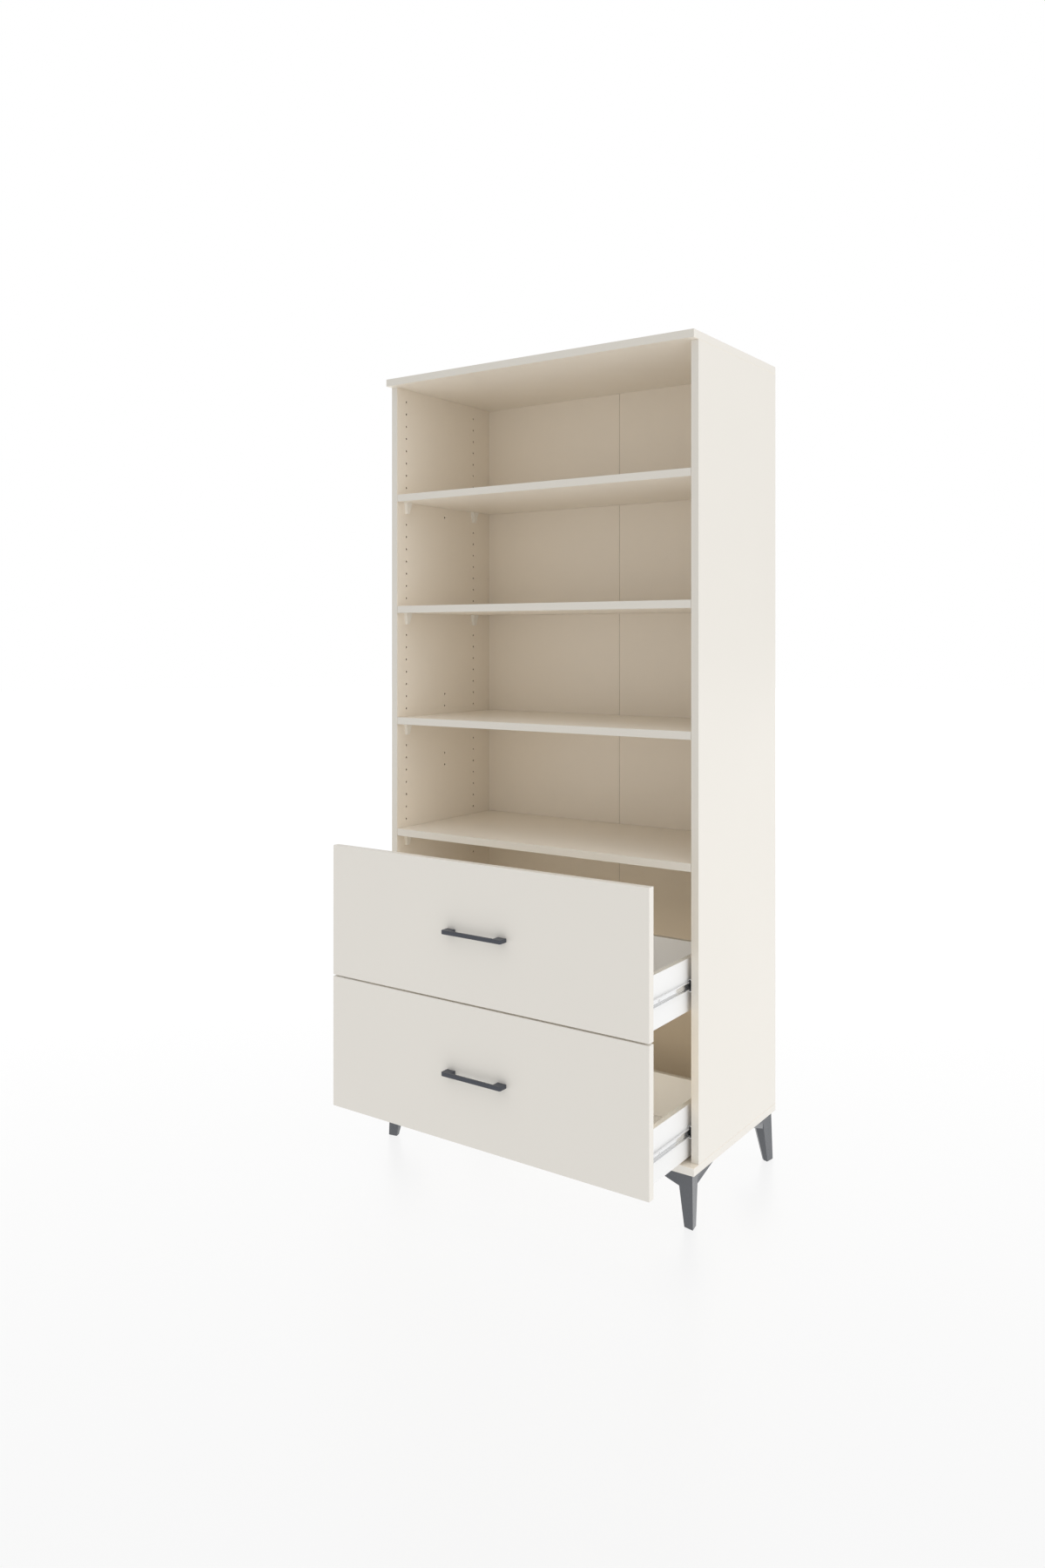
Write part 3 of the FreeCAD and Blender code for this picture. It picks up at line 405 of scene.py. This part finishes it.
def piece_for(node, shape):
    """Makes a mesh piece that stands for a node: it has the node's finish and rides on its body."""
    bmesh.ops.recalc_face_normals(shape, faces=shape.faces)
    mesh = bpy.data.meshes.new(f"{node}.shape")
    shape.to_mesh(mesh)
    shape.free()
    mesh.shade_smooth()
    mesh.set_sharp_from_angle(angle=SMOOTH_ANGLE)
    piece = bpy.data.objects.new(f"{node}.piece", mesh)
    scene.collection.objects.link(piece)
    normals = piece.modifiers.new("even_faces", "WEIGHTED_NORMAL")
    normals.keep_sharp = True
    dress(piece, FITTING_FINISHES[slot_of[node]])
    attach(piece, body_of[node])
    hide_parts(node)


def node_shape(node):
    """A node's own surface with its faces joined up along their seams."""
    shape = bmesh.new()
    shape.from_mesh(nodes[node].data)
    bmesh.ops.remove_doubles(shape, verts=shape.verts, dist=WELD)
    return shape


def loose_parts(node):
    """The boxes of a node's separate solids."""
    shape = node_shape(node)
    waiting = set(shape.verts)
    boxes = []
    while waiting:
        group = [waiting.pop()]
        for vert in group:
            for edge in vert.link_edges:
                other = edge.other_vert(vert)
                if other in waiting:
                    waiting.remove(other)
                    group.append(other)
        spans = list(zip(*(vert.co for vert in group)))
        boxes.append((Vector([min(span) for span in spans]), Vector([max(span) for span in spans])))
    shape.free()
    return sorted(boxes, key=lambda box: tuple(box[0]))


def round_edges(shape, radius):
    sharp = [edge for edge in shape.edges if edge.is_manifold and edge.calc_face_angle() > CREASE]
    bmesh.ops.bevel(shape, geom=sharp, offset=radius, segments=ROUND_STEPS, profile=ROUND_PROFILE_SHARE,
                    affect="EDGES", clamp_overlap=True)


def swept(outline, move):
    """A solid made by moving a flat outline."""
    shape = bmesh.new()
    face = shape.faces.new([shape.verts.new(point) for point in outline])
    raised = bmesh.ops.extrude_face_region(shape, geom=[face])
    moved = [item for item in raised["geom"] if isinstance(item, bmesh.types.BMVert)]
    bmesh.ops.translate(shape, verts=moved, vec=move)
    return shape


def wall(shape, first, second):
    """Joins two rings that have as many points."""
    for step in range(len(first)):
        shape.faces.new((first[step - 1], first[step], second[step], second[step - 1]))


# Legs, shelf supports and slide stops: moulded, so their edges are rounded over

LEG_ROUND = 0.0012
SUPPORT_ROUND = 0.0008
STOP_ROUND = 0.0006


def softened(node, radius):
    """The node's shape with its sharp edges rounded over."""
    shape = node_shape(node)
    bmesh.ops.dissolve_limit(shape, angle_limit=FLAT_ANGLE, verts=shape.verts, edges=shape.edges)
    round_edges(shape, radius)
    piece_for(node, shape)


for corner in CORNERS:
    softened(f"{corner}_leg", LEG_ROUND)
for shelf in SHELVES:
    softened(f"{shelf}_supports", SUPPORT_ROUND)
softened("slide_stops", STOP_ROUND)


# Handles

HANDLE_BAR = 0.007
HANDLE_POST = 0.024
HANDLE_CORNER_CUT = 0.003
HANDLE_ROUND = 0.0009


def handle(node):
    """A flat bar between two block posts; seen from above it is a bridge with cut outer corners."""
    low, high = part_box(node)
    right = [(high.x - HANDLE_POST, high.y), (high.x, high.y), (high.x, low.y + HANDLE_CORNER_CUT),
             (high.x - HANDLE_CORNER_CUT, low.y)]
    left = [(-x, y) for x, y in reversed(right)]
    behind_bar = low.y + HANDLE_BAR
    inside = [(low.x + HANDLE_POST, behind_bar), (high.x - HANDLE_POST, behind_bar)]
    shape = swept([(x, y, low.z) for x, y in right + left + inside], (0.0, 0.0, high.z - low.z))
    round_edges(shape, HANDLE_ROUND)
    piece_for(node, shape)


for level in LEVELS:
    handle(f"{level}_drawer_handle")


# Slides: rolled sheet with rounded bends and adjusting slots

SLIDE_SHEET = 0.0012
SLIDE_LIP = 0.004
BEND_RADIUS = 0.0022
BEND_STEPS = 5
SLOT_LENGTH = 0.010
SLOT_WIDTH = 0.0045
SLOT_STEPS = 16
CABINET_SLOT_OFFSETS = (-0.016, 0.016)
DRAWER_SLOT_OFFSETS = (-0.016, 0.032)


def rounded_path(points, radius):
    """An open line through points whose corners are arcs."""
    path = [Vector(points[0])]
    for before, corner, after in zip(points, points[1:], points[2:]):
        corner = Vector(corner)
        back = (Vector(before) - corner).normalized()
        on = (Vector(after) - corner).normalized()
        half_angle = back.angle(on) / 2
        reach = radius / math.tan(half_angle)
        centre = corner + (back + on).normalized() * (radius / math.sin(half_angle))
        spoke = corner + back * reach - centre
        sweep = spoke.angle_signed(corner + on * reach - centre)
        for step in range(BEND_STEPS + 1):
            path.append(centre + Matrix.Rotation(-sweep * step / BEND_STEPS, 2) @ spoke)
    path.append(Vector(points[-1]))
    return path


def sheet_outline(path, thickness):
    """The closed outline of a bent sheet whose middle follows a path."""
    near, far = [], []
    for number, point in enumerate(path):
        before = path[max(number - 1, 0)]
        after = path[min(number + 1, len(path) - 1)]
        along = (after - before).normalized()
        across = Vector((-along.y, along.x)) * (thickness / 2)
        near.append(point + across)
        far.append(point - across)
    return near + far[::-1]


def slot_ring(shape, x, y, z):
    """An oblong ring on the face of a web."""
    ring = []
    for step in range(SLOT_STEPS):
        turn = 2 * math.pi * (step + 0.5) / SLOT_STEPS
        end = y + math.copysign(SLOT_LENGTH - SLOT_WIDTH, math.cos(turn)) / 2
        spoke = SLOT_WIDTH / 2 * Vector((math.cos(turn), math.sin(turn)))
        ring.append(shape.verts.new((x, end + spoke.x, z + spoke.y)))
    return ring


def cut_slots(shape, places):
    """Cuts slots through the web, which is the widest wall of a channel."""
    rings = []
    for face in sorted(shape.faces, key=lambda face: face.calc_area())[-2:]:
        x = face.verts[0].co.x
        edges = list(face.edges)
        bmesh.ops.delete(shape, geom=[face], context="FACES_ONLY")
        face_rings = [slot_ring(shape, x, y, z) for y, z in places]
        for ring in face_rings:
            edges += [shape.edges.new((ring[step - 1], ring[step])) for step in range(SLOT_STEPS)]
        bmesh.ops.triangle_fill(shape, edges=edges, use_beauty=True)
        rings.append(face_rings)
    for near, far in zip(*rings):
        wall(shape, near, far)


def rolled_channel(node, middle_line, screw_node, slot_offsets):
    """Sweeps a bent sheet along the node's length, with slots beside its screws; the line is in X and Z."""
    low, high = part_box(node)
    outline = sheet_outline(rounded_path(middle_line, BEND_RADIUS), SLIDE_SHEET)
    shape = swept([(x, low.y, z) for x, z in outline], (0.0, high.y - low.y, 0.0))
    screw_places = [(near + far) / 2 for near, far in loose_parts(screw_node)]
    own_screws = [place for place in screw_places if low.z < place.z < high.z and place.x * low.x > 0]
    cut_slots(shape, [(place.y + offset, place.z) for place in own_screws for offset in slot_offsets])
    piece_for(node, shape)


def slide_members(level, side):
    """The cabinet member with its inturned lips, and the drawer member that runs inside it."""
    half = SLIDE_SHEET / 2
    fixed = f"{level}_{side}_cabinet_slide"
    low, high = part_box(fixed)
    web, mouth = (low.x + half, high.x - half) if side == "left" else (high.x - half, low.x + half)
    bottom, top = low.z + half, high.z - half
    line = [(mouth, top - SLIDE_LIP + half), (mouth, top), (web, top), (web, bottom), (mouth, bottom),
            (mouth, bottom + SLIDE_LIP - half)]
    rolled_channel(fixed, line, "cabinet_slide_screws", CABINET_SLOT_OFFSETS)
    moving = f"{level}_drawer_{side}_slide"
    low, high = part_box(moving)
    web, mouth = (high.x - half, low.x) if side == "left" else (low.x + half, high.x)
    bottom, top = low.z + half, high.z - half
    line = [(mouth, top), (web, top), (web, bottom), (mouth, bottom)]
    rolled_channel(moving, line, f"{level}_drawer_slide_screws", DRAWER_SLOT_OFFSETS)


for level in LEVELS:
    for side in SIDES:
        slide_members(level, side)


# Screws with a cross recess

CIRCLE_STEPS = 24
RECESS_ARM_SHARE = 0.30
RECESS_REACH_SHARE = 0.62
RECESS_DEPTH_SHARE = 0.75
RECESS_FLOOR_SHARE = 0.55
DOME_SHARE = 0.35
CROWN_SHARE = 0.82
LEG_SCREW = {"head_height": 0.0024, "shank_diameter": 0.0045}
STRIP_SCREW = {"head_height": 0.0018, "shank_diameter": 0.0035}
CABINET_SLIDE_SCREW = {"head_height": 0.0006, "shank_diameter": 0.0046}
DRAWER_SLIDE_SCREW = {"head_height": 0.001, "shank_diameter": 0.0035}
DRAWER_FRONT_SCREW = {"head_height": 0.002, "shank_diameter": 0.004}


def add_screw(shape, seat, drive, head_radius, head_height, shank_radius, shank_length):
    """A domed head with a tapered cross recess on a plain shank; drive points into the work."""
    def ring(radius, height):
        turns = [2 * math.pi * step / CIRCLE_STEPS for step in range(CIRCLE_STEPS)]
        outline = [(radius * math.cos(turn), radius * math.sin(turn)) for turn in turns]
        return [shape.verts.new((x, y, height)) for x, y in outline]

    def cross(share, height):
        reach = head_radius * RECESS_REACH_SHARE * share
        arm = reach * RECESS_ARM_SHARE
        corners = [Vector((reach, -arm)), Vector((reach, arm)), Vector((arm, arm))]
        quarters = [Matrix.Rotation(math.radians(90 * turn), 2) for turn in range(4)]
        outline = [quarter @ corner for quarter in quarters for corner in corners]
        return [shape.verts.new((point.x, point.y, height)) for point in outline]

    start = len(shape.verts)
    crown = ring(head_radius * CROWN_SHARE, head_height)
    rim = ring(head_radius, head_height * (1 - DOME_SHARE))
    flange = ring(head_radius, 0.0)
    neck = ring(shank_radius, 0.0)
    tip = ring(shank_radius, -shank_length)
    mouth = cross(1.0, head_height)
    bed = cross(RECESS_FLOOR_SHARE, head_height * (1 - RECESS_DEPTH_SHARE))
    for first, second in ((crown, rim), (rim, flange), (flange, neck), (neck, tip), (mouth, bed)):
        wall(shape, first, second)
    shape.faces.new(bed)
    shape.faces.new(tip)
    edges = [shape.edges.get((loop[step - 1], loop[step]))
             for loop in (crown, mouth)
             for step in range(len(loop))]
    bmesh.ops.triangle_fill(shape, edges=edges, use_beauty=True)
    shape.verts.ensure_lookup_table()
    turn = Vector((0.0, 0.0, -1.0)).rotation_difference(drive).to_matrix().to_4x4()
    bmesh.ops.transform(shape, matrix=Matrix.Translation(seat) @ turn, verts=shape.verts[start:])


def screws(node, drive_for, head_height, shank_diameter):
    """Gives every screw of a node a recessed head; its place and width are read from the frame."""
    shape = bmesh.new()
    for low, high in loose_parts(node):
        centre = (low + high) / 2
        drive = Vector(drive_for(centre))
        along = [abs(part) for part in drive].index(1.0)
        across = (along + 1) % 3
        seat = centre.copy()
        seat[along] = (low if drive[along] > 0 else high)[along] + drive[along] * head_height
        add_screw(shape, seat, drive, (high[across] - low[across]) / 2, head_height, shank_diameter / 2,
                  high[along] - low[along] - head_height)
    piece_for(node, shape)


def upwards(centre):
    return (0.0, 0.0, 1.0)


def forwards(centre):
    return (0.0, -1.0, 0.0)


def outwards(centre):
    return (math.copysign(1.0, centre.x), 0.0, 0.0)


def inwards(centre):
    return (-math.copysign(1.0, centre.x), 0.0, 0.0)


screws("leg_screws", upwards, **LEG_SCREW)
screws("back_strip_screws", forwards, **STRIP_SCREW)
screws("cabinet_slide_screws", outwards, **CABINET_SLIDE_SCREW)
for level in LEVELS:
    screws(f"{level}_drawer_slide_screws", inwards, **DRAWER_SLIDE_SCREW)
    screws(f"{level}_drawer_front_screws", forwards, **DRAWER_FRONT_SCREW)


# Floor and backdrop

FLOOR_SIZE = 60.0
FLOOR_GREY = rgb(0.07, 0.07, 0.07)
FLOOR_GLOW = rgb(0.845, 0.845, 0.845)
FLOOR_CLOUD_SCALE = 3.0
FLOOR_CLOUD_SHARE = 0.95
FLOOR_GRAIN_SCALE = 40.0
FLOOR_GLOSS = 0.3
FLOOR_ROUGHNESS = 0.3
FLOOR_GRAIN_ROUGHNESS = 0.05
BACKDROP_RADIUS = 29.0
BACKDROP_RINGS = 32
BACKDROP_GLOW = rgb(1.0, 1.0, 1.0)


def staged(name, shape, finish):
    """Puts a piece of the studio, which isn't part of the bookcase, into the scene."""
    mesh = bpy.data.meshes.new(name)
    shape.to_mesh(mesh)
    shape.free()
    piece = bpy.data.objects.new(name, mesh)
    scene.collection.objects.link(piece)
    dress(piece, finish)
    return piece


def plain_floor():
    sheet = bmesh.new()
    bmesh.ops.create_grid(sheet, x_segments=1, y_segments=1, size=FLOOR_SIZE / 2)
    finish = Finish("lit_floor", {"Emission Color": FLOOR_GLOW, "Emission Strength": 1.0,
                                  "Specular IOR Level": FLOOR_GLOSS})
    finish.set("Base Color", finish.clouded(finish.noise(FLOOR_CLOUD_SCALE), FLOOR_GREY, FLOOR_CLOUD_SHARE))
    finish.set("Roughness", FLOOR_ROUGHNESS + FLOOR_GRAIN_ROUGHNESS * finish.noise(FLOOR_GRAIN_SCALE))
    staged("floor", sheet, finish)


def white_backdrop():
    """A white dome round the floor that only the camera sees, so that it casts no light or shade."""
    dome = bmesh.new()
    bmesh.ops.create_uvsphere(dome, u_segments=2 * BACKDROP_RINGS, v_segments=BACKDROP_RINGS,
                              radius=BACKDROP_RADIUS)
    finish = Finish("white_backdrop", {"Base Color": rgb(0.0, 0.0, 0.0), "Specular IOR Level": 0.0,
                                       "Emission Color": BACKDROP_GLOW, "Emission Strength": 1.0})
    backdrop = staged("backdrop", dome, finish)
    for ray in ("diffuse", "glossy", "transmission", "volume_scatter", "shadow"):
        setattr(backdrop, f"visible_{ray}", False)


plain_floor()
white_backdrop()


# Light: a soft sky that glows from the top, the front, the right and the back, and a dim lamp in each bay

BASE_LIGHT = 0.37
GLOWS = {
    "top": {"strength": 0.76, "direction": (0.0, 0.0, 1.0), "narrowness": 2.0},
    "front": {"strength": 0.70, "direction": (0.0, -1.0, 0.05), "narrowness": 16.0},
    "right": {"strength": 1.40, "direction": (1.0, 0.0, 0.1), "narrowness": 4.0},
    "back": {"strength": 0.30, "direction": (-0.57, 0.82, 0.0), "narrowness": 1.0},
}
FILL_POWERS = {"upper": 0.26, "lower": 0.62}
FILL_COLOUR = (1.0, 0.87, 0.68)
FILL_MARGIN = 0.012


def studio_sky():
    world = bpy.data.worlds.new("studio")
    world.use_nodes = True
    sky = Nodes(world.node_tree)
    towards = sky.node("ShaderNodeTexCoord", {}, {}, "Generated")
    light = BASE_LIGHT
    for glow in GLOWS.values():
        lean = sky.vector("DOT_PRODUCT", towards, Vector(glow["direction"]).normalized(), "Value")
        light = light + glow["strength"] * lean.at_least(0.0) ** glow["narrowness"]
    background = world.node_tree.nodes["Background"]
    sky.feed(background.inputs["Color"], rgb(1.0, 1.0, 1.0))
    sky.feed(background.inputs["Strength"], light)
    scene.world = world


def bay_fill(level):
    """A dim lamp behind a drawer front, above the box, that shines to the back of the bay."""
    low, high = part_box(f"{level}_drawer_front")
    box_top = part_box(f"{level}_drawer_left_side")[1].z
    glow = bpy.data.lights.new(f"{level}_bay_fill", "AREA")
    glow.shape = "RECTANGLE"
    glow.size = high.x - low.x - 2 * FILL_MARGIN
    glow.size_y = high.z - box_top - 2 * FILL_MARGIN
    glow.energy = FILL_POWERS[level]
    glow.color = FILL_COLOUR
    lamp = bpy.data.objects.new(f"{level}_bay_fill", glow)
    lamp.location = (0.0, high.y + FILL_MARGIN, (box_top + high.z) / 2)
    lamp.rotation_euler = (math.radians(90), 0.0, 0.0)
    lamp.visible_camera = False
    lamp.visible_glossy = False
    scene.collection.objects.link(lamp)
    body = frame["bodies"][f"{level}_drawer"]
    lamp.parent = body
    lamp.matrix_parent_inverse = body.matrix_world.inverted()


studio_sky()
for level in LEVELS:
    bay_fill(level)


# Camera: level, turned to the left, with the frame shifted down

CAMERA_PLACE = (1.5945, -2.4118, 1.2785)
CAMERA_TURN = math.radians(34.91)
CAMERA_LENS = 27.13
CAMERA_SENSOR = 36.0
CAMERA_SHIFT_SHARE = -0.092


def photo_camera():
    lens = bpy.data.cameras.new("camera")
    lens.lens = CAMERA_LENS
    lens.sensor_width = CAMERA_SENSOR
    lens.shift_y = CAMERA_SHIFT_SHARE
    camera = bpy.data.objects.new("camera", lens)
    camera.location = CAMERA_PLACE
    camera.rotation_euler = (math.radians(90), 0.0, CAMERA_TURN)
    scene.collection.objects.link(camera)
    scene.camera = camera


photo_camera()
scene.view_settings.view_transform = "Standard"
